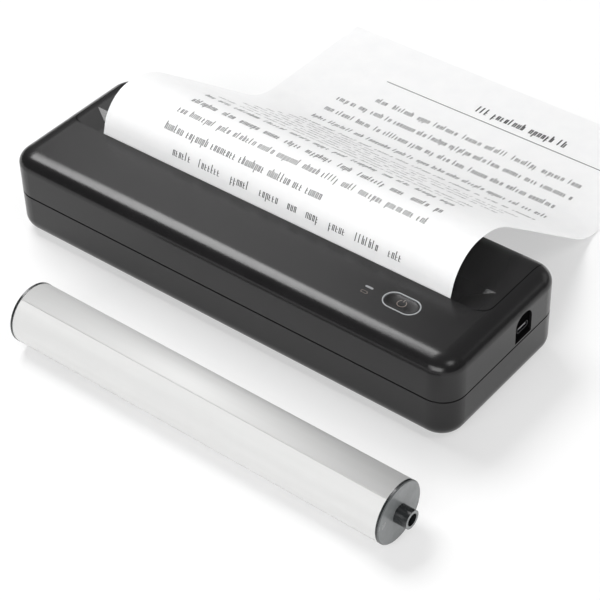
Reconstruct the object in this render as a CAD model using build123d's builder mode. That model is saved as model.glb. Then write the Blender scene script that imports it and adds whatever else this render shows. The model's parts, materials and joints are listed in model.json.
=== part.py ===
from build123d import *
import os
from math import acos, asin, atan2, cos, degrees, hypot, pi, radians, sin, tan

os.makedirs("parts", exist_ok=True)

# An A4 portable thermal printer, in millimetres.
# X runs along the printer, +X to the end with the charging port, +Y to the back, +Z up.
# The origin is the centre of the lower case's flat underside.

# ---------------------------------------------------------------- driving dimensions
# paper and rolls
paper_width = 210.0
paper_thickness = 0.16
paper_gap = 0.25            # air on each side of the paper in the slot and the nip
roll_radius = 15.0
core_outer = 6.5
core_wall = 0.9
flange_radius = 15.2
flange_thickness = 1.5
flange_gap = 0.1
hub_radius = 4.5
hub_bore = 3.0
hub_length = 6.6
plug_length = 8.0
fit_gap = 0.05              # running clearance of shafts and pins, in radius

# case
end_space = 28.0            # from the edge of the paper to the outside of the case
body_depth = 89.5
body_height = 46.0
seam_height = 23.3
corner_radius = 12.5
top_radius = 7.0            # height of the rounded top edge
top_reach = 10.0            # how far that edge reaches in over the deck
bottom_radius = 8.0
wall = 2.0
seam_gap = 0.1
seam_bevel = 0.2
seam_shadow = 0.4           # extra width of the seam outside the lip
lip_inset = 1.1
lip_height = 1.2
lip_gap = 0.1

# paper slot and cover
deck_rear = -5.15           # the deck's rear edge, where the paper comes out
slot_gap = 0.6
notch_depth = 1.15          # the slot is this much wider where the paper passes
notch_margin = 2.5
cover_left_margin = 5.8
cover_right_margin = 9.3
cover_gap = 0.4
cover_corner = 6.5
scoop_depth = 2.6
scoop_floor = 7.85          # from the cover's front edge to the valley
scoop_slope = 7.0
scoop_hip = 12.0
scoop_side = 4.3            # from the cover's side edge to the top of the hip
pad_thickness = 2.8         # below the cover's plate, under the scoop
pad_depth = 17.0
pad_side = 6.9
rib_thickness = 1.4
rib_depth = 2.0
rib_pitch = 38.0
rib_count = 6
ledge_width = 1.4
ledge_thickness = 1.6
ledge_gap = 0.8
deck_rib_y = -13.0          # the rib under the deck that carries the tear bar

# hinge
barrel_radius = 3.25
hinge_height = 33.0
pin_radius = 1.0
knuckle_place = 100.0
knuckle_width = 8.0
knuckle_gap = 0.3
pin_reach = 9.0
stop_gap = 0.25
web_inset = 2.0
web_foot = 26.0

# platen
platen_radius = 5.4
platen_drop = 12.5          # from the top of the case to the platen's axis
platen_overhang = 2.0
shaft_radius = 2.5
bush_radius = 3.5
arm_gap = 1.1               # from the rubber to the flange of the bush
bush_flange = 1.0
bush_flange_radius = 4.4
arm_radius = 5.0
arm_thickness = 2.5

# mechanism frame
plate_thickness = 1.2
plate_place = 9.8           # from the edge of the paper to the side plate's inner face
plate_front = -36.0
plate_rear = 9.0
plate_drop = 8.5            # from the top of the case to the top of the side plates
notch_flare = 0.9
spring_plate_rear = -13.5
spring_plate_foot = 6.0
spring_plate_drop = 9.0
head_front = 0.9            # thickness of the ceramic strip
sink_thickness = 2.5
head_height = 8.5
sink_drop = 6.5             # from the top of the case to the top of the heat sink
rod_radius = 1.5
rod_y = -8.0
rod_drop = 13.0             # from the platen's axis down to the head's pivot
rod_barrel = 2.8
spring_radius = 2.0
spring_wire = 0.35
spring_turns = 3
spring_gap = 0.32

# gears
gear_module = 0.5
platen_teeth = 24
idler_teeth = 32
small_teeth = 16
large_teeth = 36
pinion_teeth = 12
gear_width = 4.0
large_width = 2.8
pressure_angle = 20.0
backlash = 0.10
tooth_top = 0.8             # in modules
tooth_root = 1.15           # in modules
idler_direction = -104.0
compound_direction = -172.7
motor_lift = 1.32           # clearance under the motor
axle_radius = 1.5
motor_radius = 10.0
motor_length = 18.0

# electronics
board_thickness = 1.2
port_centre = 13.25
port_width = 12.9
port_sill = 1.2             # from the seam up to the port's opening
port_drop = 7.0             # from the top of the case down to it
port_arch = 5.5
socket_width = 8.94
socket_height = 3.26
socket_length = 7.1
socket_recess = 0.7
socket_z = 30.4
button_x = 89.7
button_y = -20.75
button_length = 19.2
button_width = 11.2
ring_width = 0.6
button_gap = 0.1
button_travel = 0.4
button_dish = 0.35
button_rim = 0.8            # from the cap's edge to the dish
led_x = 71.6
led_y = -20.4
led_length = 4.4
led_width = 1.3
cell_radius = 9.1
cell_length = 65.0
cell_space = 3.15           # from the front wall to the cells
cell_gap = 0.6
cell_margin = 63.0          # from the left end of the case to the first cell
cradle_inset = 6.0
cradle_width = 1.5
cradle_height = 7.0
board_margin = 71.0         # from the right end of the case to the board's left edge
board_corner = 16.0         # and to the corner where it turns back along the end wall
board_right_gap = 4.0
board_front_gap = 2.05
board_rear = -16.2
tongue_front = -28.0
tongue_rear = 21.0
chip_size = 14.0
panel_drop = 7.4            # from the top of the case to the button board's upper face
panel_left = 63.0
panel_right = 106.5
panel_front = -33.0
panel_rear = -15.2

# feet and screws
foot_radius = 5.0
foot_height = 1.0
foot_recess = 0.8
foot_gap = 0.3
foot_end = 29.0             # from the case's end to the middle of a foot
foot_side = 13.75           # and from its front or back
screw_end = 10.5
screw_side = 10.75
screw_radius = 1.25
screw_head = 2.4
screw_head_height = 1.8
screw_length = 13.8
boss_radius = 4.0
post_radius = 3.2

# the printed sheet, from the slot over the cover to the table behind
sheet_lean = 17.0           # degrees back from upright where it leaves the slot
sheet_rise = 5.0
sheet_arc = 20.7
sheet_crown = 40.0
sheet_slope = 37.5
sheet_landing = 40.0
sheet_end = 205.0

# ---------------------------------------------------------------- derived places
body_length = paper_width + 2 * end_space
half_length = body_length / 2
half_depth = body_depth / 2
half_paper = paper_width / 2
table = -foot_height
cover_left = -half_length + cover_left_margin
cover_right = half_length - cover_right_margin
cover_middle = (cover_left + cover_right) / 2
cover_length = cover_right - cover_left
cover_front = deck_rear + slot_gap
cover_under = body_height - wall
hinge_y = half_depth - barrel_radius
hinge_z = hinge_height
paper_y = deck_rear + paper_gap + paper_thickness / 2 + 0.05
platen_y = paper_y + paper_thickness / 2 + paper_gap + platen_radius
platen_z = body_height - platen_drop
head_y = paper_y - paper_thickness / 2 - paper_gap
plate_x = half_paper + plate_place
tray_play = 0.8             # between the roll and the tray
tray_thickness = 1.0
tray_gap = 1.95             # between the tray and the rear wall
tray_lift = 2.0
inner_x = half_length - wall
inner_y = half_depth - wall
roll_y = inner_y - tray_gap - tray_thickness - tray_play - roll_radius
roll_z = wall + tray_lift + roll_radius
plate_top = body_height - plate_drop
sink_top = body_height - sink_drop
rod_z = platen_z - rod_drop
port_bottom = seam_height + port_sill
port_top = body_height - port_drop
rubber_half = half_paper + platen_overhang
bush_start = rubber_half + arm_gap
arm_start = bush_start + bush_flange
gear_start = plate_x + plate_thickness + 2.5
gear_end = gear_start + gear_width
large_start = gear_end + 0.7
large_end = large_start + large_width
platen_axis = (platen_y, platen_z)
board_z = socket_z - socket_height / 2 - board_thickness
cell_y = -inner_y + cell_space + cell_radius
cell_starts = [-half_length + cell_margin, -half_length + cell_margin + cell_length + cell_gap]
foot_x = half_length - foot_end
foot_y = half_depth - foot_side
screw_x = half_length - screw_end
screw_y = half_depth - screw_side


def step_from(point, distance, angle):
    """The point at a distance from another, at an angle in degrees, in the YZ plane."""
    return (
        point[0] + distance * cos(radians(angle)),
        point[1] + distance * sin(radians(angle)),
    )


def mesh_distance(teeth_a, teeth_b):
    return gear_module * (teeth_a + teeth_b) / 2


idler_axis = step_from(platen_axis, mesh_distance(platen_teeth, idler_teeth), idler_direction)
compound_axis = step_from(idler_axis, mesh_distance(idler_teeth, small_teeth), compound_direction)
motor_distance = mesh_distance(large_teeth, pinion_teeth)
motor_z = wall + motor_lift + motor_radius
pinion_direction = -180.0 + degrees(asin((compound_axis[1] - motor_z) / motor_distance))
motor_axis = step_from(compound_axis, motor_distance, pinion_direction)


# ---------------------------------------------------------------- shared forms
def wall_section(inset):
    """The section of the case from a corner's axis out to its side, soft at the top edge."""
    out = corner_radius - inset
    low, reach, drop = bottom_radius - inset, top_reach - inset, top_radius - inset
    bottom, top = inset, body_height - inset
    with BuildSketch() as section:
        with BuildLine():
            Line((0, bottom), (out - low, bottom))
            CenterArc((out - low, bottom + low), low, -90, 90)
            Line((out, bottom + low), (out, top - drop))
            EllipticalCenterArc((out - reach, top - drop), reach, drop, start_angle=0, arc_size=90)
            Polyline((out - reach, top), (0, top), (0, bottom))
        make_face()
    return section.sketch


def case_form(inset):
    """The printer's whole outer form, or the hollow inside it where inset is the wall.
    The section is run along the four sides and turned round the four corners."""
    section = wall_section(inset)
    with BuildPart() as form:
        with BuildSketch(Plane.XY.offset(inset)):
            Rectangle(body_length - 2 * corner_radius, body_depth - 2 * corner_radius)
        extrude(amount=body_height - 2 * inset)
        for turn, reach, run in (
            (0, half_length, body_depth),
            (90, half_depth, body_length),
            (180, half_length, body_depth),
            (270, half_depth, body_length),
        ):
            outward = Vector(1, 0, 0).rotate(Axis.Z, turn)
            along = Vector(0, 1, 0).rotate(Axis.Z, turn)
            half_run = run / 2 - corner_radius
            core = outward * (reach - corner_radius)
            with BuildSketch(Plane(core + along * half_run, x_dir=outward, z_dir=-along)):
                add(section)
            extrude(amount=2 * half_run)
            corner = core - along * half_run
            with BuildSketch(Plane(corner, x_dir=outward, z_dir=-along)):
                add(section)
            revolve(axis=Axis(corner, (0, 0, -1)), revolution_arc=90)
    return form.part


def plan_ring(outer_inset, inner_inset, bottom, height):
    """A band that follows the case in plan, between two insets from its outside."""
    with BuildPart() as ring:
        with BuildSketch(Plane.XY.offset(bottom)):
            RectangleRounded(
                body_length - 2 * outer_inset, body_depth - 2 * outer_inset, corner_radius - outer_inset
            )
            RectangleRounded(
                body_length - 2 * inner_inset,
                body_depth - 2 * inner_inset,
                corner_radius - inner_inset,
                mode=Mode.SUBTRACT,
            )
        extrude(amount=height)
    return ring.part


def cover_block(grow, front, bottom):
    """The upright block that the cover is cut from, its two front corners rounded."""
    rear = half_depth + wall
    with BuildPart() as form:
        with BuildSketch(Plane.XY.offset(bottom)):
            with Locations((cover_middle, (front + rear) / 2)):
                Rectangle(cover_length + 2 * grow, rear - front)
        extrude(amount=body_height)
        fillet(form.edges().filter_by(Axis.Z).group_by(Axis.Y)[0], cover_corner + grow)
    return form.part


def across(x):
    """The YZ plane at x: its own x is the printer's Y, its own y is the printer's Z."""
    return Plane.YZ.offset(x)


def rod(axis, radius, start, end):
    """A round bar along X."""
    with BuildPart() as bar:
        with BuildSketch(across(start)):
            with Locations(axis):
                Circle(radius)
        extrude(amount=end - start)
    return bar.part


def tube(axis, outer, inner, start, end):
    """A round tube along X."""
    with BuildPart() as pipe:
        with BuildSketch(across(start)):
            with Locations(axis):
                Circle(outer)
                Circle(inner, mode=Mode.SUBTRACT)
        extrude(amount=end - start)
    return pipe.part


def box(x, y, z):
    """A box between two values of x, of y and of z."""
    with BuildPart() as solid:
        with BuildSketch(Plane.XY.offset(z[0])):
            with Locations(((x[0] + x[1]) / 2, (y[0] + y[1]) / 2)):
                Rectangle(x[1] - x[0], y[1] - y[0])
        extrude(amount=z[1] - z[0])
    return solid.part


def port_shape(grow):
    """The arched outline of the port's opening, grown all round."""
    with BuildSketch() as shape:
        with Locations((port_centre, (port_bottom + port_top) / 2)):
            Rectangle(port_width + 2 * grow, port_top - port_bottom + 2 * grow)
        fillet(shape.vertices().group_by(Axis.Y)[-1], port_arch + grow)
    return shape.sketch


def involute(angle):
    return tan(angle) - angle


def gear_outline(axis, teeth, phase):
    """The closed outline of a spur gear round its axis, one tooth centred at phase."""
    pitch = gear_module * teeth / 2
    base = pitch * cos(radians(pressure_angle))
    tip = pitch + tooth_top * gear_module
    root = pitch - tooth_root * gear_module
    half_tooth = pi / teeth / 2 - backlash / 2 / pitch + involute(radians(pressure_angle))
    start = max(base, root)
    radii = [start, (start + tip) / 2, tip]
    flank = [(r, half_tooth - involute(acos(min(1.0, base / r)))) for r in radii]
    flank = [(root, flank[0][1])] + flank
    points = []
    for tooth in range(teeth):
        centre = radians(phase) + 2 * pi * tooth / teeth
        for r, half in flank:
            points.append(step_from(axis, r, degrees(centre - half)))
        for r, half in reversed(flank):
            points.append(step_from(axis, r, degrees(centre + half)))
    return points


def gear(axis, teeth, phase, bore, start, end):
    """A spur gear on an axis along X."""
    with BuildPart() as wheel:
        with BuildSketch(across(start)):
            with BuildLine():
                Polyline(*gear_outline(axis, teeth, phase), close=True)
            make_face()
            with Locations(axis):
                Circle(bore, mode=Mode.SUBTRACT)
        extrude(amount=end - start)
    return wheel.part


def meshed_phase(direction, teeth_a, phase_a, teeth_b):
    """The phase that sets gear b, in the given direction from gear a, in mesh with gear a."""
    offset = (direction - phase_a) % (360 / teeth_a)
    return direction + 180 + offset * teeth_a / teeth_b + 180 / teeth_b


screw_points = [(x, y) for x in (-screw_x, screw_x) for y in (-screw_y, screw_y)]
foot_points = [(x, y) for x in (-foot_x, foot_x) for y in (-foot_y, foot_y)]
screw_seat = 15.0           # how deep the heads of the case screws sit
rear_boss_top = hinge_z - 1.5
board_left = half_length - board_margin
board_turn = half_length - board_corner
board_right = half_length - board_right_gap
board_front = -inner_y + board_front_gap
post_inset = 3.3            # from a board's edge to the middle of its post
board_posts = [
    (board_left + 5.0, board_rear - post_inset),
    (board_turn - 9.0, board_rear - post_inset),
    (board_left + 5.0, board_front + post_inset),
    (board_turn - 12.0, board_front + post_inset),
    (board_right - 8.0, tongue_rear - 3.0),
]
panel_posts = [
    (panel_left + 3.5, panel_front + 3.0),
    (panel_right - 3.5, panel_front + 3.0),
    (panel_right - 3.5, panel_rear - 2.8),
]
panel_top = body_height - panel_drop
small_screw = 0.8
cell_axis = (cell_y, wall + 0.2 + cell_radius)

# ---------------------------------------------------------------- lower case
with BuildPart() as lower_case:
    add(case_form(0))
    split(bisect_by=Plane.XY.offset(seam_height - seam_gap / 2 - seam_shadow), keep=Keep.BOTTOM)
    chamfer(lower_case.faces().sort_by(Axis.Z)[-1].edges(), seam_bevel)
    add(case_form(wall), mode=Mode.SUBTRACT)
    # the lip that locates the upper case, inside the shadow line of the seam
    add(plan_ring(lip_inset, wall, seam_height - wall, wall + lip_height))
    # bosses of the case screws
    with BuildSketch(Plane.XY.offset(wall / 2)):
        with Locations(*screw_points):
            Circle(boss_radius)
    extrude(amount=seam_height - seam_gap / 2 - wall / 2)
    with BuildSketch():
        with Locations(*screw_points):
            Circle(screw_head + 0.2)
    extrude(amount=screw_seat + screw_head_height, mode=Mode.SUBTRACT)
    with BuildSketch():
        with Locations(*screw_points):
            Circle(screw_radius + fit_gap)
    extrude(amount=seam_height, mode=Mode.SUBTRACT)
    # seats of the feet
    with BuildSketch():
        with Locations(*foot_points):
            Circle(foot_radius + foot_gap)
    extrude(amount=foot_recess, mode=Mode.SUBTRACT)
    # cradles of the battery cells
    for start in cell_starts:
        for x in (start + cradle_inset, start + cell_length - cradle_inset - cradle_width):
            with BuildSketch(across(x)):
                with Locations((cell_y, wall / 2)):
                    Rectangle(
                        2 * cell_radius + 0.8, cradle_height, align=(Align.CENTER, Align.MIN)
                    )
                with Locations(cell_axis):
                    Circle(cell_radius + 0.1, mode=Mode.SUBTRACT)
            extrude(amount=cradle_width)
    # posts of the main board
    with BuildSketch(Plane.XY.offset(wall / 2)):
        with Locations(*board_posts):
            Circle(2.4)
    extrude(amount=board_z - wall / 2)
    with BuildSketch(Plane.XY.offset(board_z)):
        with Locations(*board_posts):
            Circle(small_screw + fit_gap)
    extrude(amount=-8.0, mode=Mode.SUBTRACT)
lower_case.part.label = "lower_case"

# ---------------------------------------------------------------- upper case
knuckle_spans = [
    (side * knuckle_place - knuckle_width / 2, side * knuckle_place + knuckle_width / 2)
    for side in (-1, 1)
]

with BuildPart() as upper_case:
    add(case_form(0))
    split(bisect_by=Plane.XY.offset(seam_height + seam_gap / 2), keep=Keep.TOP)
    chamfer(upper_case.faces().sort_by(Axis.Z)[0].edges(), seam_bevel)
    add(case_form(wall), mode=Mode.SUBTRACT)
    # rebate for the lower case's lip
    add(
        plan_ring(lip_inset - lip_gap, wall + lip_gap, seam_height - wall, wall + lip_height + lip_gap),
        mode=Mode.SUBTRACT,
    )
    # the mouth that the cover closes
    add(cover_block(cover_gap, deck_rear, hinge_z - barrel_radius - stop_gap), mode=Mode.SUBTRACT)
    # inner walls and ledges beside the cover
    for side, edge in ((-1, cover_left - cover_gap), (1, cover_right + cover_gap)):
        with BuildSketch(Plane.XZ.offset(-deck_rear)):
            with Locations((edge + side * rib_thickness / 2, body_height - wall)):
                Rectangle(rib_thickness, 4.0, align=(Align.CENTER, Align.MAX))
            with Locations((edge, cover_under - ledge_gap)):
                Rectangle(
                    2 * ledge_width, ledge_thickness, align=(Align.CENTER, Align.MAX)
                )
        extrude(amount=-(hinge_y - barrel_radius - 7.0 - deck_rear))
    # knuckles of the hinge
    for start, end in knuckle_spans:
        with BuildSketch(across(start)):
            with Locations((hinge_y, hinge_z)):
                Circle(barrel_radius)
            with Locations(((hinge_y - web_inset + half_depth) / 2, (web_foot + hinge_z) / 2)):
                Rectangle(half_depth - hinge_y + web_inset, hinge_z - web_foot)
            with Locations((hinge_y, hinge_z)):
                Circle(pin_radius, mode=Mode.SUBTRACT)
        extrude(amount=end - start)
    # bosses of the case screws: tall in front, short behind, tied to the end walls
    with BuildSketch(Plane.XY.offset(seam_height + seam_gap / 2)):
        with Locations((-screw_x, -screw_y), (screw_x, -screw_y)):
            Circle(post_radius)
    extrude(amount=body_height - wall / 2 - seam_height)
    with BuildSketch(Plane.XY.offset(seam_height + seam_gap / 2)):
        with Locations((-screw_x, screw_y), (screw_x, screw_y)):
            Circle(post_radius)
    extrude(amount=rear_boss_top - seam_height)
    with BuildSketch(Plane.XY.offset(seam_height + lip_height + 0.3)):
        for side in (-1, 1):
            with Locations((side * (screw_x + inner_x + 0.2) / 2, screw_y)):
                Rectangle(inner_x - screw_x + 0.2, rib_thickness)
    extrude(amount=rear_boss_top - seam_height - lip_height - 0.3)
    with BuildSketch(Plane.XY.offset(seam_height)):
        with Locations(*screw_points):
            Circle(screw_radius + fit_gap)
    extrude(amount=7.0, mode=Mode.SUBTRACT)
    # posts of the button board
    with BuildSketch(Plane.XY.offset(panel_top)):
        with Locations(*panel_posts):
            Circle(2.2)
    extrude(amount=body_height - wall / 2 - panel_top)
    with BuildSketch(Plane.XY.offset(panel_top)):
        with Locations(*panel_posts):
            Circle(small_screw + fit_gap)
    extrude(amount=5.0, mode=Mode.SUBTRACT)
    # rib under the deck that carries the tear bar
    with BuildSketch(Plane.XY.offset(body_height - wall / 2)):
        with Locations((0, deck_rib_y)):
            Rectangle(2 * half_paper + 20.0, rib_thickness)
    extrude(amount=-(wall / 2 + 3.0))
    # openings of the button, the status light and the port
    with BuildSketch(Plane.XY.offset(body_height)):
        with Locations((button_x, button_y)):
            SlotOverall(button_length + 2 * fit_gap, button_width + 2 * fit_gap)
        with Locations((led_x, led_y)):
            SlotOverall(led_length, led_width)
    extrude(amount=-2 * wall, mode=Mode.SUBTRACT)
    with BuildSketch(across(inner_x - wall)):
        add(port_shape(0))
    extrude(amount=3 * wall, mode=Mode.SUBTRACT)
upper_case.part.label = "upper_case"

# ---------------------------------------------------------------- rear cover
pad_start = cover_left + pad_side
pad_end = cover_right - pad_side
arm_spans = [(arm_start, arm_start + arm_thickness), (-arm_start - arm_thickness, -arm_start)]
scoop_top = [cover_left + scoop_side, cover_right - scoop_side]
scoop_bottom = [scoop_top[0] + scoop_hip, scoop_top[1] - scoop_hip]
valley_y = cover_front + scoop_floor
valley_z = body_height - scoop_depth

with BuildPart() as rear_cover:
    add(cover_block(0, cover_front, hinge_z))
    add(case_form(0), mode=Mode.INTERSECT)
    add(case_form(wall), mode=Mode.SUBTRACT)
    # the thick front beam under the scoop
    add(
        box(
            (pad_start, pad_end),
            (cover_front, cover_front + pad_depth),
            (cover_under - pad_thickness, body_height - wall / 2),
        )
    )
    # stiffening ribs
    for number in range(rib_count):
        x = cover_middle + (number - (rib_count - 1) / 2) * rib_pitch
        add(
            box(
                (x - rib_thickness / 2, x + rib_thickness / 2),
                (cover_front + pad_depth - 1.0, inner_y - top_reach),
                (cover_under - rib_depth, body_height - wall / 2),
            )
        )
    # hinge barrel, trimmed by the case's own outline at the corners
    add(rod((hinge_y, hinge_z), barrel_radius, cover_left, cover_right))
    add(case_form(0), mode=Mode.INTERSECT)
    for start, end in knuckle_spans:
        add(
            box(
                (start - knuckle_gap, end + knuckle_gap),
                (hinge_y - barrel_radius - knuckle_gap, half_depth + wall),
                (hinge_z - barrel_radius - knuckle_gap, hinge_z + barrel_radius + knuckle_gap),
            ),
            mode=Mode.SUBTRACT,
        )
        add(
            rod(
                (hinge_y, hinge_z),
                pin_radius + fit_gap,
                start - pin_reach - knuckle_gap,
                end + pin_reach + knuckle_gap,
            ),
            mode=Mode.SUBTRACT,
        )
    # arms that hold the platen
    for start, end in arm_spans:
        with BuildSketch(across(start)):
            with Locations(platen_axis):
                Circle(arm_radius)
            with Locations((platen_y, platen_z)):
                Rectangle(
                    2 * arm_radius,
                    cover_under - pad_thickness / 2 - platen_z,
                    align=(Align.CENTER, Align.MIN),
                )
            with Locations(platen_axis):
                Circle(bush_radius, mode=Mode.SUBTRACT)
        extrude(amount=end - start)
    # the scoop along the front edge, a valley with a slope behind and a hip at each end
    with BuildSketch(Plane.XY.offset(valley_z)):
        with Locations(((scoop_bottom[0] + scoop_bottom[1]) / 2, (valley_y + cover_front - 5) / 2)):
            Rectangle(scoop_bottom[1] - scoop_bottom[0], valley_y - cover_front + 5)
    with BuildSketch(Plane.XY.offset(body_height)):
        with Locations(
            ((scoop_top[0] + scoop_top[1]) / 2, (valley_y + scoop_slope + cover_front - 5) / 2)
        ):
            Rectangle(scoop_top[1] - scoop_top[0], valley_y + scoop_slope - cover_front + 5)
    loft(ruled=True, mode=Mode.SUBTRACT)
    # the slot's notch
    add(
        box(
            (-half_paper - notch_margin, half_paper + notch_margin),
            (cover_front - 1.0, cover_front + notch_depth),
            (hinge_z, body_height + 1.0),
        ),
        mode=Mode.SUBTRACT,
    )
rear_cover.part.label = "rear_cover"

with BuildPart() as hinge_pins:
    for start, end in knuckle_spans:
        add(rod((hinge_y, hinge_z), pin_radius, start - pin_reach, end + pin_reach))
hinge_pins.part.label = "hinge_pins"

# ---------------------------------------------------------------- platen roller on the cover
shaft_left = -(large_start - 0.2)
shaft_right = plate_x + plate_thickness + 2.4
flat_depth = 0.5
clip_start = plate_x + plate_thickness + 0.95
clip_thickness = 0.6
clip_seat = 2.1
clip_radius = 3.8
clip_mouth = 3.4

with BuildPart() as platen_shaft:
    add(rod(platen_axis, shaft_radius, shaft_left, shaft_right))
    # the flat that drives the gear
    add(
        box(
            (shaft_left, -gear_start + 0.4),
            (platen_y - shaft_radius, platen_y + shaft_radius),
            (platen_z + shaft_radius - flat_depth, platen_z + shaft_radius),
        ),
        mode=Mode.SUBTRACT,
    )
    chamfer(platen_shaft.faces().filter_by(Axis.X).sort_by(Axis.X)[-1].edges(), 0.3)
    # the groove of the retaining clip
    add(
        tube(platen_axis, shaft_radius + 0.2, clip_seat, clip_start, clip_start + clip_thickness),
        mode=Mode.SUBTRACT,
    )
platen_shaft.part.label = "platen_shaft"

with BuildPart() as shaft_clip:
    with BuildSketch(across(clip_start)):
        with Locations(platen_axis):
            Circle(clip_radius)
            Circle(clip_seat, mode=Mode.SUBTRACT)
            Rectangle(clip_mouth, clip_radius, align=(Align.CENTER, Align.MAX), mode=Mode.SUBTRACT)
    extrude(amount=clip_thickness)
shaft_clip.part.label = "shaft_clip"

with BuildPart() as platen_rubber:
    add(tube(platen_axis, platen_radius, shaft_radius, -rubber_half, rubber_half))
platen_rubber.part.label = "platen_rubber"

with BuildPart() as platen_bushings:
    for side in (-1, 1):
        ends = sorted((side * arm_start, side * (plate_x + plate_thickness + 0.8)))
        flange = sorted((side * bush_start, side * arm_start))
        add(tube(platen_axis, bush_radius, shaft_radius + fit_gap, *ends))
        add(tube(platen_axis, bush_flange_radius, shaft_radius + fit_gap, *flange))
platen_bushings.part.label = "platen_bushings"

idler_phase = idler_direction + 180
platen_phase = idler_direction + 180 / platen_teeth
small_phase = meshed_phase(compound_direction, idler_teeth, idler_phase, small_teeth)
large_phase = 0.0
pinion_phase = meshed_phase(pinion_direction, large_teeth, large_phase, pinion_teeth)

with BuildPart() as platen_gear:
    add(gear(platen_axis, platen_teeth, platen_phase, shaft_radius, -gear_end, -gear_start))
    # the flat inside its bore
    add(
        box(
            (-gear_end, -gear_start),
            (platen_y - shaft_radius, platen_y + shaft_radius),
            (platen_z + shaft_radius - flat_depth, platen_z + shaft_radius + 0.3),
        )
    )
platen_gear.part.label = "platen_gear"

# ---------------------------------------------------------------- gear train and motor
with BuildPart() as idler_gear:
    add(
        gear(idler_axis, idler_teeth, idler_phase, axle_radius + fit_gap, -gear_end, -gear_start)
    )
idler_gear.part.label = "idler_gear"

with BuildPart() as compound_gear:
    add(
        gear(
            compound_axis, large_teeth, large_phase, axle_radius + fit_gap, -large_end, -large_start
        )
    )
    add(
        gear(
            compound_axis, small_teeth, small_phase, axle_radius + fit_gap, -large_start, -gear_start
        )
    )
compound_gear.part.label = "compound_gear"

with BuildPart() as gear_axles:
    add(rod(idler_axis, axle_radius, -gear_end - 0.4, -plate_x))
    add(rod(compound_axis, axle_radius, -large_end - 0.4, -plate_x))
gear_axles.part.label = "gear_axles"

motor_shaft_radius = 1.0
motor_boss = 3.5

with BuildPart() as stepper_motor:
    add(rod(motor_axis, motor_radius, -plate_x, -plate_x + motor_length))
    with BuildSketch(across(-plate_x)):
        with Locations(motor_axis):
            SlotOverall(26.0, 7.0, rotation=45)
    extrude(amount=1.0)
    add(rod(motor_axis, motor_boss - 0.1, -plate_x - plate_thickness, -plate_x))
    chamfer(stepper_motor.faces().filter_by(Axis.X).sort_by(Axis.X)[-1].edges(), 0.8)
    add(
        rod(motor_axis, motor_shaft_radius + fit_gap, -plate_x - 5, -plate_x + 4.0),
        mode=Mode.SUBTRACT,
    )
stepper_motor.part.label = "stepper_motor"

with BuildPart() as motor_shaft:
    add(rod(motor_axis, motor_shaft_radius, -large_end, -plate_x + 3.5))
motor_shaft.part.label = "motor_shaft"

with BuildPart() as motor_pinion:
    add(gear(motor_axis, pinion_teeth, pinion_phase, motor_shaft_radius, -large_end, -large_start))
motor_pinion.part.label = "motor_pinion"


# ---------------------------------------------------------------- mechanism frame
def side_plate(inner, outer, front, openings):
    """An upright steel plate across the printer, notched for the platen's bush."""
    tall_front = spring_plate_rear - plate_thickness - 0.3
    with BuildPart() as plate:
        with BuildSketch(across(min(inner, outer))):
            with Locations(((tall_front + plate_rear) / 2, wall)):
                Rectangle(
                    plate_rear - tall_front, plate_top - wall, align=(Align.CENTER, Align.MIN)
                )
            if front < tall_front:
                with Locations(((front + tall_front) / 2, wall)):
                    Rectangle(tall_front - front, 24.0, align=(Align.CENTER, Align.MIN))
            with Locations(platen_axis):
                Circle(bush_radius + fit_gap, mode=Mode.SUBTRACT)
            # the notch leans back as it rises, because the bush lifts out along an arc
            with BuildLine():
                Polyline(
                    (platen_y - bush_radius - fit_gap, platen_z),
                    (platen_y + bush_radius + fit_gap, platen_z),
                    (platen_y + bush_radius + fit_gap + notch_flare, platen_z + 10.0),
                    (platen_y - bush_radius - fit_gap, platen_z + 10.0),
                    close=True,
                )
            make_face(mode=Mode.SUBTRACT)
            for place, radius in openings:
                with Locations(place):
                    Circle(radius, mode=Mode.SUBTRACT)
        extrude(amount=plate_thickness)
        # the foot, bent inwards
        foot = sorted((inner, inner - (6.0 if inner > 0 else -6.0)))
        add(box(foot, (-12.0, 4.0), (wall, wall + plate_thickness)))
    return plate.part


rod_axis = (rod_y, rod_z)

with BuildPart() as left_side_plate:
    add(
        side_plate(
            -plate_x,
            -plate_x - plate_thickness,
            plate_front,
            [
                (motor_axis, motor_boss),
                (rod_axis, rod_radius),
                (idler_axis, axle_radius),
                (compound_axis, axle_radius),
            ],
        )
    )
left_side_plate.part.label = "left_side_plate"

with BuildPart() as right_side_plate:
    add(
        side_plate(
            plate_x,
            plate_x + plate_thickness,
            plate_rear,
            [(rod_axis, rod_radius)],
        )
    )
right_side_plate.part.label = "right_side_plate"

with BuildPart() as spring_plate:
    add(
        box(
            (-plate_x, plate_x),
            (spring_plate_rear - plate_thickness, spring_plate_rear),
            (spring_plate_foot, body_height - spring_plate_drop),
        )
    )
spring_plate.part.label = "spring_plate"

# ---------------------------------------------------------------- print head
head_length = 2 * half_paper + 8.0
sink_front = head_y - head_front - sink_thickness

with BuildPart() as heat_sink:
    with BuildSketch(across(-half_paper - 6.0)):
        with Locations((sink_front + sink_thickness / 2, (rod_z + sink_top) / 2)):
            Rectangle(sink_thickness, sink_top - rod_z)
        with Locations(rod_axis):
            Circle(rod_barrel)
            Circle(rod_radius + fit_gap, mode=Mode.SUBTRACT)
    extrude(amount=2 * (half_paper + 6.0))
heat_sink.part.label = "heat_sink"

with BuildPart() as print_head:
    add(
        box(
            (-head_length / 2, head_length / 2),
            (head_y - head_front, head_y),
            (platen_z - head_height / 2 + 0.5, platen_z + head_height / 2 + 0.5),
        )
    )
print_head.part.label = "print_head"

with BuildPart() as head_rod:
    add(rod(rod_axis, rod_radius, -plate_x - plate_thickness - 0.4, plate_x + plate_thickness + 0.4))
head_rod.part.label = "head_rod"

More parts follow.
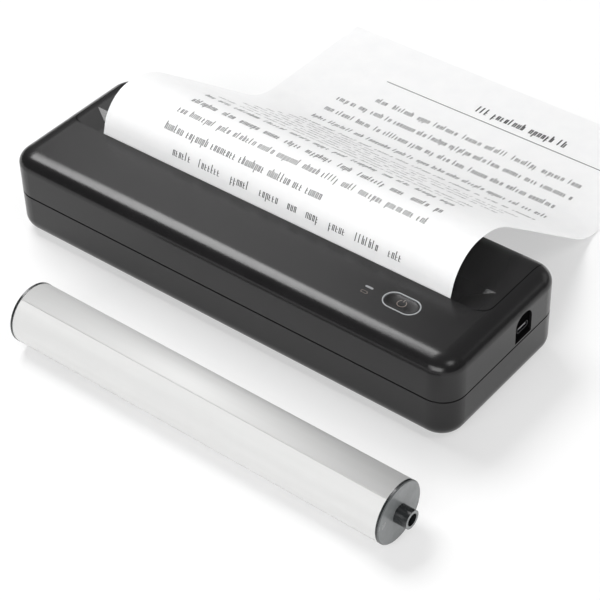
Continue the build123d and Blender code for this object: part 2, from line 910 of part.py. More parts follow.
spring_length = sink_front - spring_gap - spring_plate_rear
spring_path = Helix(
    pitch=(spring_length - 2 * spring_wire) / spring_turns,
    height=spring_length - 2 * spring_wire,
    radius=spring_radius,
)
with BuildPart() as one_spring:
    with BuildLine():
        add(spring_path)
    with BuildSketch(Plane(origin=spring_path @ 0, z_dir=spring_path % 0)):
        RegularPolygon(spring_wire, 6)
    sweep(is_frenet=True)

with BuildPart() as head_springs:
    for x in (-80.0, -27.0, 27.0, 80.0):
        add(
            one_spring.part.moved(
                Location((x, spring_plate_rear + spring_wire, platen_z), (-90, 0, 0))
            )
        )
head_springs.part.label = "head_springs"

# ---------------------------------------------------------------- tear bar
tear_front = deck_rib_y + rib_thickness / 2

with BuildPart() as tear_bar:
    with BuildSketch(across(-half_paper - 3.0)):
        with BuildLine():
            Polyline(
                (deck_rear - 0.1, cover_under),
                (tear_front, cover_under),
                (tear_front, cover_under - 2.5),
                (tear_front + 0.6, cover_under - 2.5),
                (tear_front + 0.6, cover_under - 0.6),
                (deck_rear - 0.5, cover_under - 0.6),
                close=True,
            )
        make_face()
    extrude(amount=2 * half_paper + 6.0)
tear_bar.part.label = "tear_bar"


# ---------------------------------------------------------------- paper rolls
def roll_paper_solid(axis, middle):
    return tube(axis, roll_radius, core_outer, middle - half_paper, middle + half_paper)


def roll_core_solid(axis, middle):
    return tube(
        axis, core_outer, core_outer - core_wall, middle - half_paper, middle + half_paper
    )


def roll_flange_solid(axis, middle, side):
    """A flange with its plug inside the core and its hollow hub outside."""
    disc = middle + side * (half_paper + flange_gap)
    rim = disc + side * flange_thickness
    with BuildPart() as flange:
        add(rod(axis, flange_radius, *sorted((disc, rim))))
        chamfer(flange.faces().sort_by(Axis.X)[0 if side < 0 else -1].edges(), 0.4)
        plug = sorted((disc - side * plug_length, disc))
        add(rod(axis, core_outer - core_wall - fit_gap, *plug))
        add(rod(axis, hub_radius, *sorted((rim, rim + side * hub_length))))
        ends = sorted((disc - side * plug_length, rim + side * hub_length))
        add(rod(axis, hub_bore, *ends), mode=Mode.SUBTRACT)
    return flange.part


roll_axis = (roll_y, roll_z)
spare_x = 39.5
spare_y = -99.4
spare_axis = (spare_y, table + flange_radius)

with BuildPart() as roll_paper:
    add(roll_paper_solid(roll_axis, 0))
roll_paper.part.label = "roll_paper"

with BuildPart() as roll_core:
    add(roll_core_solid(roll_axis, 0))
roll_core.part.label = "roll_core"

with BuildPart() as roll_flanges:
    add(roll_flange_solid(roll_axis, 0, -1))
    add(roll_flange_solid(roll_axis, 0, 1))
roll_flanges.part.label = "roll_flanges"

with BuildPart() as spare_roll_paper:
    add(roll_paper_solid(spare_axis, spare_x))
spare_roll_paper.part.label = "spare_roll_paper"

with BuildPart() as spare_roll_core:
    add(roll_core_solid(spare_axis, spare_x))
spare_roll_core.part.label = "spare_roll_core"

with BuildPart() as spare_roll_flanges:
    add(roll_flange_solid(spare_axis, spare_x, -1))
    add(roll_flange_solid(spare_axis, spare_x, 1))
spare_roll_flanges.part.label = "spare_roll_flanges"

# ---------------------------------------------------------------- the paper between roll and slot
roll_air = 0.3
web_corner = (paper_y, 23.0)
to_roll = (roll_y - web_corner[0], roll_z - web_corner[1])
roll_distance = hypot(*to_roll)
touch_radius = roll_radius + roll_air + paper_thickness / 2
touch_angle = degrees(atan2(to_roll[1], to_roll[0]) - asin(touch_radius / roll_distance))
web_start = step_from(
    web_corner, (roll_distance ** 2 - touch_radius ** 2) ** 0.5, touch_angle
)

with BuildPart() as paper_web:
    with BuildSketch(across(-half_paper)):
        with BuildLine():
            FilletPolyline(web_start, web_corner, (paper_y, body_height - 0.2), radius=4.0)
            offset(amount=paper_thickness / 2, side=Side.BOTH)
        make_face()
    extrude(amount=paper_width)
paper_web.part.label = "paper_web"

# ---------------------------------------------------------------- roll tray
tray_inner = roll_radius + tray_play
tray_outer = tray_inner + tray_thickness
tray_rear_angle = -20.0
tray_front_angle = touch_angle - 90.0
ramp_length = 16.0
tray_wall = (half_paper + 2.9, half_paper + 4.7)

with BuildPart() as roll_tray:
    with BuildSketch(across(-tray_wall[0])):
        with BuildLine():
            ramp_in = step_from(roll_axis, tray_inner, tray_front_angle)
            ramp_out = step_from(roll_axis, tray_outer, tray_front_angle)
            CenterArc(roll_axis, tray_inner, tray_front_angle, tray_rear_angle - tray_front_angle)
            Line(
                step_from(roll_axis, tray_inner, tray_rear_angle),
                step_from(roll_axis, tray_outer, tray_rear_angle),
            )
            CenterArc(roll_axis, tray_outer, tray_rear_angle, tray_front_angle - tray_rear_angle)
            Line(ramp_out, step_from(ramp_out, ramp_length, touch_angle + 180))
            Line(
                step_from(ramp_out, ramp_length, touch_angle + 180),
                step_from(ramp_in, ramp_length, touch_angle + 180),
            )
            Line(step_from(ramp_in, ramp_length, touch_angle + 180), ramp_in)
        make_face()
    extrude(amount=2 * tray_wall[0])
    for start, end in (tray_wall, (-tray_wall[1], -tray_wall[0])):
        with BuildSketch(across(start)):
            with Locations((roll_y, wall)):
                Rectangle(24.0, roll_z + 6.0 - wall, align=(Align.CENTER, Align.MIN))
            with Locations(roll_axis):
                Circle(hub_radius + 0.1, mode=Mode.SUBTRACT)
                Rectangle(
                    2 * hub_radius + 0.2, 20.0, align=(Align.CENTER, Align.MIN), mode=Mode.SUBTRACT
                )
        extrude(amount=end - start)
roll_tray.part.label = "roll_tray"

# ---------------------------------------------------------------- the printed sheet
lean = 90.0 - sheet_lean
sheet_foot = (paper_y, body_height)
rise_top = step_from(sheet_foot, sheet_rise, lean)
arc_centre = step_from(rise_top, sheet_arc, lean - 90.0)
crest = step_from(arc_centre, sheet_arc, 90.0)
crown_centre = step_from(crest, sheet_crown, -90.0)
crown_end = step_from(crown_centre, sheet_crown, 90.0 - sheet_slope)
landing_z = table + paper_thickness / 2 + 0.05
landing_drop = sheet_landing * (1 - cos(radians(sheet_slope)))
straight = (crown_end[1] - landing_z - landing_drop) / sin(radians(sheet_slope))
landing_start = step_from(crown_end, straight, -sheet_slope)
landing_centre = step_from(landing_start, sheet_landing, 90.0 - sheet_slope)
landing_end = (landing_centre[0], landing_z)

with BuildPart() as paper_sheet:
    with BuildSketch(across(-half_paper)):
        with BuildLine():
            Line(sheet_foot, rise_top)
            CenterArc(arc_centre, sheet_arc, lean + 90.0, -lean)
            CenterArc(crown_centre, sheet_crown, 90.0, -sheet_slope)
            Line(crown_end, landing_start)
            CenterArc(landing_centre, sheet_landing, -90.0 - sheet_slope, sheet_slope)
            Line(landing_end, (sheet_end, landing_z))
            offset(amount=paper_thickness / 2, side=Side.BOTH)
        make_face()
    extrude(amount=paper_width)
paper_sheet.part.label = "paper_sheet"

# ---------------------------------------------------------------- boards and port
mouth_x = half_length - socket_recess
socket_rear = mouth_x - socket_length
board_top = board_z + board_thickness

with BuildPart() as main_board:
    add(box((board_left, board_turn), (board_front, board_rear), (board_z, board_top)))
    add(box((board_turn - 0.2, board_right), (tongue_front, tongue_rear), (board_z, board_top)))
    with BuildSketch(Plane.XY.offset(board_z)):
        with Locations(*board_posts):
            Circle(small_screw + fit_gap)
    extrude(amount=board_thickness, mode=Mode.SUBTRACT)
main_board.part.label = "main_board"

with BuildPart() as board_screws:
    with BuildSketch(Plane.XY.offset(board_top - 7.0)):
        with Locations(*board_posts):
            Circle(small_screw)
    extrude(amount=7.0)
    with BuildSketch(Plane.XY.offset(board_top)):
        with Locations(*board_posts):
            Circle(2 * small_screw)
    extrude(amount=1.0)
board_screws.part.label = "board_screws"

with BuildPart() as board_chips:
    for x, y, long, wide, thick in (
        (board_left + chip_size, board_front + 4.7, chip_size, chip_size, 1.4),
        (board_left + 32.0, board_rear - 9.8, chip_size / 2, 5.0, 1.0),
        (board_turn + 2.0, tongue_front + 16.0, 5.0, chip_size / 2, 1.0),
    ):
        add(box((x, x + long), (y, y + wide), (board_top, board_top + thick)))
board_chips.part.label = "board_chips"

with BuildPart() as head_connector:
    add(
        box(
            (board_left + 10.0, board_left + 34.0),
            (board_rear - 3.3, board_rear - 0.5),
            (board_top, board_top + 2.2),
        )
    )
head_connector.part.label = "head_connector"

shell = 0.3

with BuildPart() as usb_shell:
    with BuildSketch(across(socket_rear)):
        with Locations((port_centre, socket_z)):
            RectangleRounded(socket_width, socket_height, socket_height / 2 - 0.05)
            RectangleRounded(
                socket_width - 2 * shell,
                socket_height - 2 * shell,
                socket_height / 2 - shell - 0.05,
                mode=Mode.SUBTRACT,
            )
    extrude(amount=socket_length)
usb_shell.part.label = "usb_shell"

with BuildPart() as usb_insert:
    with BuildSketch(across(socket_rear)):
        with Locations((port_centre, socket_z)):
            RectangleRounded(
                socket_width - 2 * shell, socket_height - 2 * shell, socket_height / 2 - shell - 0.05
            )
    extrude(amount=1.8)
    add(
        box(
            (socket_rear, mouth_x - 0.6),
            (port_centre - 3.3, port_centre + 3.3),
            (socket_z - 0.35, socket_z + 0.35),
        )
    )
usb_insert.part.label = "usb_insert"

with BuildPart() as port_bezel:
    with BuildSketch(across(inner_x - 1.0)):
        add(port_shape(1.2))
    extrude(amount=1.0)
    add(case_form(wall), mode=Mode.INTERSECT)
    with BuildSketch(across(inner_x - 1.0)):
        add(port_shape(-0.1))
    extrude(amount=1.8)
    with BuildSketch(across(inner_x - 1.0)):
        with Locations((port_centre, socket_z)):
            RectangleRounded(socket_width + 0.3, socket_height + 0.3, socket_height / 2)
    extrude(amount=3.0, mode=Mode.SUBTRACT)
port_bezel.part.label = "port_bezel"

# ---------------------------------------------------------------- button, switch and status light
panel_bottom = panel_top - board_thickness
ring_flange = 0.8
ring_bottom = cover_under - ring_flange
ring_inner_length = button_length - 2 * ring_width
ring_inner_width = button_width - 2 * ring_width
cap_flange_top = ring_bottom - 0.1
cap_flange_bottom = cap_flange_top - 0.8
switch_height = 2.0
plunger_radius = 1.7
plunger_bottom = panel_top + 0.8
plunger_top = panel_top + switch_height + 0.6

with BuildPart() as button_board:
    add(box((panel_left, panel_right), (panel_front, panel_rear), (panel_bottom, panel_top)))
    with BuildSketch(Plane.XY.offset(panel_bottom)):
        with Locations(*panel_posts):
            Circle(small_screw + fit_gap)
    extrude(amount=board_thickness, mode=Mode.SUBTRACT)
button_board.part.label = "button_board"

with BuildPart() as panel_screws:
    with BuildSketch(Plane.XY.offset(panel_bottom)):
        with Locations(*panel_posts):
            Circle(small_screw)
    extrude(amount=5.0)
    with BuildSketch(Plane.XY.offset(panel_bottom)):
        with Locations(*panel_posts):
            Circle(2 * small_screw)
    extrude(amount=-1.0)
panel_screws.part.label = "panel_screws"

with BuildPart() as tact_switch:
    with BuildSketch(Plane.XY.offset(panel_top)):
        with Locations((button_x, button_y)):
            Rectangle(6.0, 6.0)
    extrude(amount=switch_height)
    with BuildSketch(Plane.XY.offset(plunger_bottom - button_travel - 0.05)):
        with Locations((button_x, button_y)):
            Circle(plunger_radius + fit_gap)
    extrude(amount=5.0, mode=Mode.SUBTRACT)
tact_switch.part.label = "tact_switch"

with BuildPart() as switch_plunger:
    with BuildSketch(Plane.XY.offset(plunger_bottom)):
        with Locations((button_x, button_y)):
            Circle(plunger_radius)
    extrude(amount=plunger_top - plunger_bottom)
switch_plunger.part.label = "switch_plunger"

with BuildPart() as button_ring:
    with BuildSketch(Plane.XY.offset(ring_bottom)):
        with Locations((button_x, button_y)):
            SlotOverall(button_length + 1.6, button_width + 1.6)
    extrude(amount=ring_flange)
    with BuildSketch(Plane.XY.offset(ring_bottom)):
        with Locations((button_x, button_y)):
            SlotOverall(button_length, button_width)
    extrude(amount=body_height + 0.1 - ring_bottom)
    with BuildSketch(Plane.XY.offset(ring_bottom)):
        with Locations((button_x, button_y)):
            SlotOverall(ring_inner_length, ring_inner_width)
    extrude(amount=5.0, mode=Mode.SUBTRACT)
button_ring.part.label = "button_ring"

with BuildPart() as power_button:
    with BuildSketch(Plane.XY.offset(cap_flange_bottom)):
        with Locations((button_x, button_y)):
            SlotOverall(button_length, button_width)
    extrude(amount=cap_flange_top - cap_flange_bottom)
    with BuildSketch(Plane.XY.offset(cap_flange_bottom)):
        with Locations((button_x, button_y)):
            SlotOverall(ring_inner_length - 2 * button_gap, ring_inner_width - 2 * button_gap)
    extrude(amount=body_height - 0.05 - cap_flange_bottom)
    chamfer(power_button.faces().sort_by(Axis.Z)[-1].edges(), 0.35)
    # the shallow dish in its top, from a long bar with round ends laid into it
    dish_half = ring_inner_width / 2 - button_rim
    dish_radius = (dish_half**2 + button_dish**2) / (2 * button_dish)
    dish_z = body_height - 0.05 - button_dish + dish_radius
    dish_ends = [button_x + side * (ring_inner_length - ring_inner_width) / 2 for side in (-1, 1)]
    add(rod((button_y, dish_z), dish_radius, *dish_ends), mode=Mode.SUBTRACT)
    with Locations(*[(x, button_y, dish_z) for x in dish_ends]):
        Sphere(dish_radius, mode=Mode.SUBTRACT)
    with BuildSketch(Plane.XY.offset(plunger_top)):
        with Locations((button_x, button_y)):
            Circle(2.2)
    extrude(amount=cap_flange_bottom + 0.4 - plunger_top)
power_button.part.label = "power_button"

with BuildPart() as status_led:
    with BuildSketch(Plane.XY.offset(panel_top)):
        with Locations((led_x, led_y)):
            Rectangle(3.2, 1.6)
    extrude(amount=1.1)
status_led.part.label = "status_led"

with BuildPart() as light_guide:
    with BuildSketch(Plane.XY.offset(panel_top + 1.4)):
        with Locations((led_x, led_y)):
            SlotOverall(led_length - 2 * fit_gap, led_width - 2 * fit_gap)
    extrude(amount=body_height - panel_top - 1.4)
    with BuildSketch(Plane.XY.offset(cover_under)):
        with Locations((led_x, led_y)):
            SlotOverall(led_length + 1.6, led_width + 1.6)
    extrude(amount=-0.8)
light_guide.part.label = "light_guide"

# ---------------------------------------------------------------- battery, feet and screws
with BuildPart() as battery_cells:
    for start in cell_starts:
        add(rod(cell_axis, cell_radius, start, start + cell_length))
    chamfer(battery_cells.edges().filter_by(GeomType.CIRCLE), 0.5)
battery_cells.part.label = "battery_cells"

with BuildPart() as rubber_feet:
    with BuildSketch(Plane.XY.offset(table)):
        with Locations(*foot_points):
            Circle(foot_radius)
    extrude(amount=foot_height + foot_recess)
    chamfer(rubber_feet.faces().group_by(Axis.Z)[0].edges(), 0.4)
rubber_feet.part.label = "rubber_feet"

with BuildPart() as case_screws:
    with BuildSketch(Plane.XY.offset(screw_seat)):
        with Locations(*screw_points):
            Circle(screw_head)
    extrude(amount=screw_head_height)
    with BuildSketch(Plane.XY.offset(screw_seat)):
        with Locations(*screw_points):
            Circle(screw_radius)
    extrude(amount=screw_length)
    with BuildSketch(Plane.XY.offset(screw_seat)):
        for place in screw_points:
            with Locations(place):
                Rectangle(2.6, 0.6)
                Rectangle(0.6, 2.6)
    extrude(amount=0.9, mode=Mode.SUBTRACT)
case_screws.part.label = "case_screws"

# ---------------------------------------------------------------- export
pieces = [
    lower_case,
    upper_case,
    rear_cover,
    hinge_pins,
    platen_shaft,
    shaft_clip,
    platen_rubber,
    platen_bushings,
    platen_gear,
    idler_gear,
    compound_gear,
    gear_axles,
    stepper_motor,
    motor_shaft,
    motor_pinion,
    left_side_plate,
    right_side_plate,
    spring_plate,
    heat_sink,
    print_head,
    head_rod,
    head_springs,
    tear_bar,
    roll_paper,
    roll_core,
    roll_flanges,
    roll_tray,
    paper_web,
    paper_sheet,
    spare_roll_paper,
    spare_roll_core,
    spare_roll_flanges,
    main_board,
    board_screws,
    board_chips,
    head_connector,
    usb_shell,
    usb_insert,
    port_bezel,
    button_board,
    panel_screws,
    tact_switch,
    switch_plunger,
    button_ring,
    power_button,
    status_led,
    light_guide,
    battery_cells,
    rubber_feet,
    case_screws,
]

for piece in pieces:
    export_step(piece.part, f"parts/{piece.part.label}.step")
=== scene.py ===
"""The look of the portable A4 thermal printer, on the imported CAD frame.

Blender's pieces are in metres. Marks and print are laid out in millimetres, in the same frame.
"""

import json
import math
import random

import bmesh
import bpy
from mathutils import Matrix, Vector
from mathutils.bvhtree import BVHTree


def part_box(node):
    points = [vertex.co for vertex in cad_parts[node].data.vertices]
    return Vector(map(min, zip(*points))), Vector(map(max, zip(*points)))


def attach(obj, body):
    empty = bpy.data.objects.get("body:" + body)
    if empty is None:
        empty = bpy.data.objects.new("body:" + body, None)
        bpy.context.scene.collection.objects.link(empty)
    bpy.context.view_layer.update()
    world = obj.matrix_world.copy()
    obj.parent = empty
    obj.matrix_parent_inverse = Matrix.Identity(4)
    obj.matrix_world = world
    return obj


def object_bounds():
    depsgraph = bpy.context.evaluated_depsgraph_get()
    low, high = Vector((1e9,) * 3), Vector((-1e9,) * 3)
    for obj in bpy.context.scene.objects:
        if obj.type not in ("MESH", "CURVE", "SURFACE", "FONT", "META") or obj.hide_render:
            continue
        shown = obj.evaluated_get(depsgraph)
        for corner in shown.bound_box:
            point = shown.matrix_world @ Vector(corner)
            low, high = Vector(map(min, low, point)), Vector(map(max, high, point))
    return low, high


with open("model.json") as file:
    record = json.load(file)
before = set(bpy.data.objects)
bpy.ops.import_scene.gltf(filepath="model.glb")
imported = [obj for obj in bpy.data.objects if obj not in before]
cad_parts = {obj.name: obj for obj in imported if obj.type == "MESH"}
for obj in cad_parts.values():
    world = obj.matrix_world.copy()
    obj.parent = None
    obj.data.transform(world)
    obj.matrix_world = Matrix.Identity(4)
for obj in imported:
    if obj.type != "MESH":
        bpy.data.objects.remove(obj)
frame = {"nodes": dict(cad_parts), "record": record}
cad_low, cad_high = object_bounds()
nodes = frame["nodes"]
scene = bpy.context.scene

MM = 0.001
MICRON = 0.000001
PICTURE_WIDTH = 600.0  # pixels across the photograph
SENSOR_WIDTH = 36.0  # millimetres, as a camera's lens is counted

# Noise gathers round 0.5. These spans of it are spread over the two ends of a ramp.
NARROW, MIDDLE, WIDE = (0.3, 0.7), (0.25, 0.75), (0.2, 0.8)

RAY_START = 0.08  # metres: above every surface that carries a mark
MARK_LIFT = 0.02 * MM  # how far a mark on the case stands above its surface
INK_LIFT = 0.11  # millimetres from the sheet's middle line to the print on it
STROKE_STEP = 1.2  # millimetres: longer strokes are split, to follow the sheet's curve
PRINTER_MIDDLE = Vector((0.0, 0.0, 0.03))  # metres: where the lamps aim


# ---------------------------------------------------------------- camera
def aim_camera(azimuth, elevation, roll, look_at, distance, focal_px):
    """A camera on the photograph's line of sight; angles in degrees, distances in metres."""
    a, e, t = (math.radians(x) for x in (azimuth, elevation, roll))
    sight = Vector((-math.sin(a) * math.cos(e), math.cos(a) * math.cos(e), -math.sin(e)))
    level = Vector((math.cos(a), math.sin(a), 0.0))
    upright = level.cross(sight)
    right = math.cos(t) * level + math.sin(t) * upright
    up = -math.sin(t) * level + math.cos(t) * upright
    data = bpy.data.cameras.new("camera")
    data.sensor_fit = "HORIZONTAL"
    data.sensor_width = SENSOR_WIDTH
    data.lens = SENSOR_WIDTH * focal_px / PICTURE_WIDTH
    data.clip_start, data.clip_end = 0.05, 30.0
    camera = bpy.data.objects.new("camera", data)
    scene.collection.objects.link(camera)
    turn = Matrix((right, up, -sight)).transposed().to_4x4()
    camera.matrix_world = Matrix.Translation(look_at - sight * distance) @ turn
    scene.camera = camera


aim_camera(
    azimuth=39.431,
    elevation=40.94,
    roll=-1.802,
    look_at=Vector((0.01829, -0.00497, 0.0)),
    distance=0.9305,
    focal_px=1925.5,
)


# ---------------------------------------------------------------- material helpers
def material(name):
    """A new node material, with its node tree and its surface shader."""
    m = bpy.data.materials.new(name)
    m.use_nodes = True
    tree = m.node_tree
    shader = next(n for n in tree.nodes if n.type == "BSDF_PRINCIPLED")
    return m, tree, shader


def coordinates(tree, kind="Object"):
    """The piece's own place in metres, or another kind, such as its surface direction."""
    return tree.nodes.new("ShaderNodeTexCoord").outputs[kind]


def noise(tree, vector, scale, detail=2.0, rough=0.5, stretch=None):
    """A noise field; stretch scales its axes, so a small factor draws it out along one."""
    if stretch:
        mapping = tree.nodes.new("ShaderNodeMapping")
        mapping.inputs["Scale"].default_value = stretch
        tree.links.new(vector, mapping.inputs["Vector"])
        vector = mapping.outputs["Vector"]
    node = tree.nodes.new("ShaderNodeTexNoise")
    node.inputs["Scale"].default_value = scale
    node.inputs["Detail"].default_value = detail
    node.inputs["Roughness"].default_value = rough
    tree.links.new(vector, node.inputs["Vector"])
    return node.outputs["Fac"]


def colour(c):
    """Four channels from a grey level or from three."""
    if isinstance(c, (int, float)):
        return (c, c, c, 1.0)
    return (*c, 1.0)


def ramp(tree, value, span, first, last):
    """Spreads a span of a field over two colours or two grey levels."""
    node = tree.nodes.new("ShaderNodeValToRGB")
    for element, position, c in zip(node.color_ramp.elements, span, (first, last)):
        element.position = position
        element.color = colour(c)
    tree.links.new(value, node.inputs["Fac"])
    return node.outputs["Color"]


def blend_colour(tree, factor, first, last):
    """A mix of two colours by a field; each colour is a tuple or a field of its own."""
    node = tree.nodes.new("ShaderNodeMix")
    node.data_type = "RGBA"
    sockets = {s.identifier: s for s in node.inputs}
    tree.links.new(factor, sockets["Factor_Float"])
    for name, value in (("A_Color", first), ("B_Color", last)):
        if isinstance(value, bpy.types.NodeSocket):
            tree.links.new(value, sockets[name])
        else:
            sockets[name].default_value = colour(value)
    return next(s for s in node.outputs if s.identifier == "Result_Color")


def drive(shader, name, field):
    """Lets a field set one of the shader's sockets."""
    shader.id_data.links.new(field, shader.inputs[name])


def bump(tree, shader, height, distance, strength=1.0, under=None):
    """Relief on the shader, distance metres deep, on top of another relief if there is one."""
    node = tree.nodes.new("ShaderNodeBump")
    node.inputs["Distance"].default_value = distance
    node.inputs["Strength"].default_value = strength
    tree.links.new(height, node.inputs["Height"])
    if under is not None:
        tree.links.new(under, node.inputs["Normal"])
    drive(shader, "Normal", node.outputs["Normal"])
    return node.outputs["Normal"]


# ---------------------------------------------------------------- materials
def moulded(
    name, base, rough, grain=2600.0, depth=12 * MICRON, spread=0.08, level=0.5, index=1.5
):
    """Moulded plastic with spark-eroded grain, slight colour drift and handled patches."""
    m, tree, shader = material(name)
    where = coordinates(tree)
    drift = noise(tree, where, scale=38.0, detail=3.0)
    dark = tuple(c * (1 - spread) for c in base)
    pale = tuple(c * (1 + spread) for c in base)
    drive(shader, "Base Color", ramp(tree, drift, NARROW, dark, pale))
    patches = noise(tree, where, scale=120.0, detail=4.0, rough=0.6)
    drive(shader, "Roughness", ramp(tree, patches, MIDDLE, rough - 0.02, rough + 0.02))
    shader.inputs["Specular IOR Level"].default_value = level
    shader.inputs["IOR"].default_value = index
    swell = noise(tree, where, scale=grain / 4)
    coarse = bump(tree, shader, swell, depth * 0.4)
    fine = noise(tree, where, scale=grain, detail=4.0, rough=0.65)
    bump(tree, shader, fine, depth, under=coarse)
    return m


def metal(name, base, rough, brushed=(1.0, 1.0, 1.0), tint=0.08):
    """Metal with faint stains and fine scratches; brushed draws these out along one axis."""
    m, tree, shader = material(name)
    where = coordinates(tree)
    shader.inputs["Metallic"].default_value = 1.0
    stains = noise(tree, where, scale=60.0, detail=4.0, rough=0.6)
    dark = tuple(c * (1 - tint) for c in base)
    drive(shader, "Base Color", ramp(tree, stains, NARROW, dark, base))
    scratches = noise(tree, where, scale=900.0, detail=3.0, rough=0.6, stretch=brushed)
    drive(shader, "Roughness", ramp(tree, scratches, WIDE, rough - 0.07, rough + 0.1))
    bump(tree, shader, scratches, 8 * MICRON, strength=0.8)
    return m


def thermal_paper():
    """Coated thermal paper: bright, faintly mottled, with a soft sheen; light seeps into it."""
    m, tree, shader = material("thermal_paper")
    where = coordinates(tree)
    clouds = noise(tree, where, scale=90.0, detail=5.0, rough=0.6)
    tone = ramp(tree, clouds, MIDDLE, (0.88, 0.882, 0.888), (0.92, 0.92, 0.92))
    drive(shader, "Base Color", tone)
    fibres = noise(tree, where, scale=1400.0, detail=5.0, rough=0.7, stretch=(1.0, 0.35, 1.0))
    drive(shader, "Roughness", ramp(tree, fibres, MIDDLE, 0.46, 0.58))
    shader.inputs["Specular IOR Level"].default_value = 0.35
    shader.inputs["Subsurface Weight"].default_value = 1.0
    shader.inputs["Subsurface Radius"].default_value = (1.0, 1.0, 1.0)
    shader.inputs["Subsurface Scale"].default_value = 0.2 * MM
    bump(tree, shader, fibres, 10 * MICRON, strength=0.7)
    return m


def shaded_roll_paper():
    """The outer turn of a fresh roll: smooth coated paper, with faint bands along it, painted
    darker than the sheet's paper as painted shade.
    """
    m, tree, shader = material("shaded_roll_paper")
    where = coordinates(tree)
    bands = noise(tree, where, scale=160.0, detail=3.0, stretch=(0.03, 1.0, 1.0))
    # painted shade: the same paper as the sheet's, given a darker grey here
    tone = ramp(tree, bands, NARROW, (0.61, 0.61, 0.605), (0.65, 0.65, 0.645))
    drive(shader, "Base Color", tone)
    fibres = noise(tree, where, scale=1300.0, detail=5.0, rough=0.65)
    drive(shader, "Roughness", ramp(tree, fibres, MIDDLE, 0.5, 0.6))
    shader.inputs["Specular IOR Level"].default_value = 0.4
    bump(tree, shader, fibres, 6 * MICRON, strength=0.6)
    return m


def smoked_plastic():
    """Tinted disc, dark at the rim; its face is painted pale, as painted light for the white paper
    seen through it.
    """
    m, tree, shader = material("smoked_plastic")
    split = tree.nodes.new("ShaderNodeSeparateXYZ")
    tree.links.new(coordinates(tree, "Normal"), split.inputs["Vector"])
    sideways = tree.nodes.new("ShaderNodeMath")
    sideways.operation = "ABSOLUTE"
    tree.links.new(split.outputs["X"], sideways.inputs[0])
    where = coordinates(tree)
    cloud = noise(tree, where, scale=140.0, detail=3.0)
    # painted light: the disc's face, picked out by which way the surface points, gets a pale grey
    # for the white paper seen through it; the rim keeps the dark tint
    face = ramp(tree, cloud, NARROW, (0.22, 0.232, 0.235), (0.28, 0.292, 0.295))
    see_through_paint_mask = ramp(tree, sideways.outputs["Value"], (0.55, 0.9), 0.0, 1.0)
    drive(shader, "Base Color", blend_colour(tree, see_through_paint_mask, (0.016, 0.018, 0.019), face))
    drive(shader, "Roughness", ramp(tree, cloud, WIDE, 0.2, 0.3))
    bump(tree, shader, noise(tree, where, scale=500.0), 6 * MICRON, strength=0.5)
    return m


def solder_mask():
    """Green board with copper tracks showing as paler, raised lines under the mask."""
    m, tree, shader = material("solder_mask")
    where = coordinates(tree)
    bricks = tree.nodes.new("ShaderNodeTexBrick")
    bricks.inputs["Scale"].default_value = 260.0
    bricks.inputs["Mortar Size"].default_value = 0.06
    tree.links.new(where, bricks.inputs["Vector"])
    tracks = bricks.outputs["Fac"]
    tone = blend_colour(tree, tracks, (0.012, 0.10, 0.045), (0.03, 0.2, 0.09))
    drive(shader, "Base Color", tone)
    cloud = noise(tree, where, scale=700.0, detail=3.0)
    drive(shader, "Roughness", ramp(tree, cloud, WIDE, 0.24, 0.36))
    bump(tree, shader, tracks, 30 * MICRON, strength=0.6)
    return m


def wrapped_cell():
    """Coloured shrink film over the cells, wrinkled along their length."""
    m, tree, shader = material("wrapped_cell")
    where = coordinates(tree)
    film = noise(tree, where, scale=50.0, detail=3.0)
    tone = ramp(tree, film, NARROW, (0.03, 0.09, 0.24), (0.045, 0.13, 0.32))
    drive(shader, "Base Color", tone)
    wrinkles = noise(tree, where, scale=420.0, detail=4.0, rough=0.6, stretch=(0.12, 1.0, 1.0))
    drive(shader, "Roughness", ramp(tree, wrinkles, WIDE, 0.22, 0.38))
    bump(tree, shader, wrinkles, 60 * MICRON, strength=0.8)
    return m


def frosted(name, base):
    """A frosted lens, which isn't lit."""
    m, tree, shader = material(name)
    cloud = noise(tree, coordinates(tree), scale=900.0, detail=3.0)
    pale = tuple(min(1.0, c * 1.08) for c in base)
    drive(shader, "Base Color", ramp(tree, cloud, NARROW, base, pale))
    drive(shader, "Roughness", ramp(tree, cloud, WIDE, 0.28, 0.4))
    bump(tree, shader, cloud, 8 * MICRON, strength=0.6)
    return m


def soft_rubber(name, base):
    """Dull black rubber with dusty patches."""
    m, tree, shader = material(name)
    where = coordinates(tree)
    dust = noise(tree, where, scale=300.0, detail=4.0, rough=0.6)
    pale = tuple(c * 1.5 for c in base)
    drive(shader, "Base Color", ramp(tree, dust, (0.3, 0.75), base, pale))
    drive(shader, "Roughness", ramp(tree, dust, WIDE, 0.62, 0.8))
    bump(tree, shader, noise(tree, where, scale=3000.0, detail=3.0), 10 * MICRON, strength=0.8)
    return m


def printed_ink():
    """Heat-made print: nearly black, uneven where the dots didn't all take."""
    m, tree, shader = material("printed_ink")
    dots = noise(tree, coordinates(tree), scale=5000.0)
    tone = ramp(tree, dots, (0.3, 0.75), (0.012, 0.012, 0.014), (0.06, 0.06, 0.065))
    drive(shader, "Base Color", tone)
    drive(shader, "Roughness", ramp(tree, dots, WIDE, 0.5, 0.62))
    return m


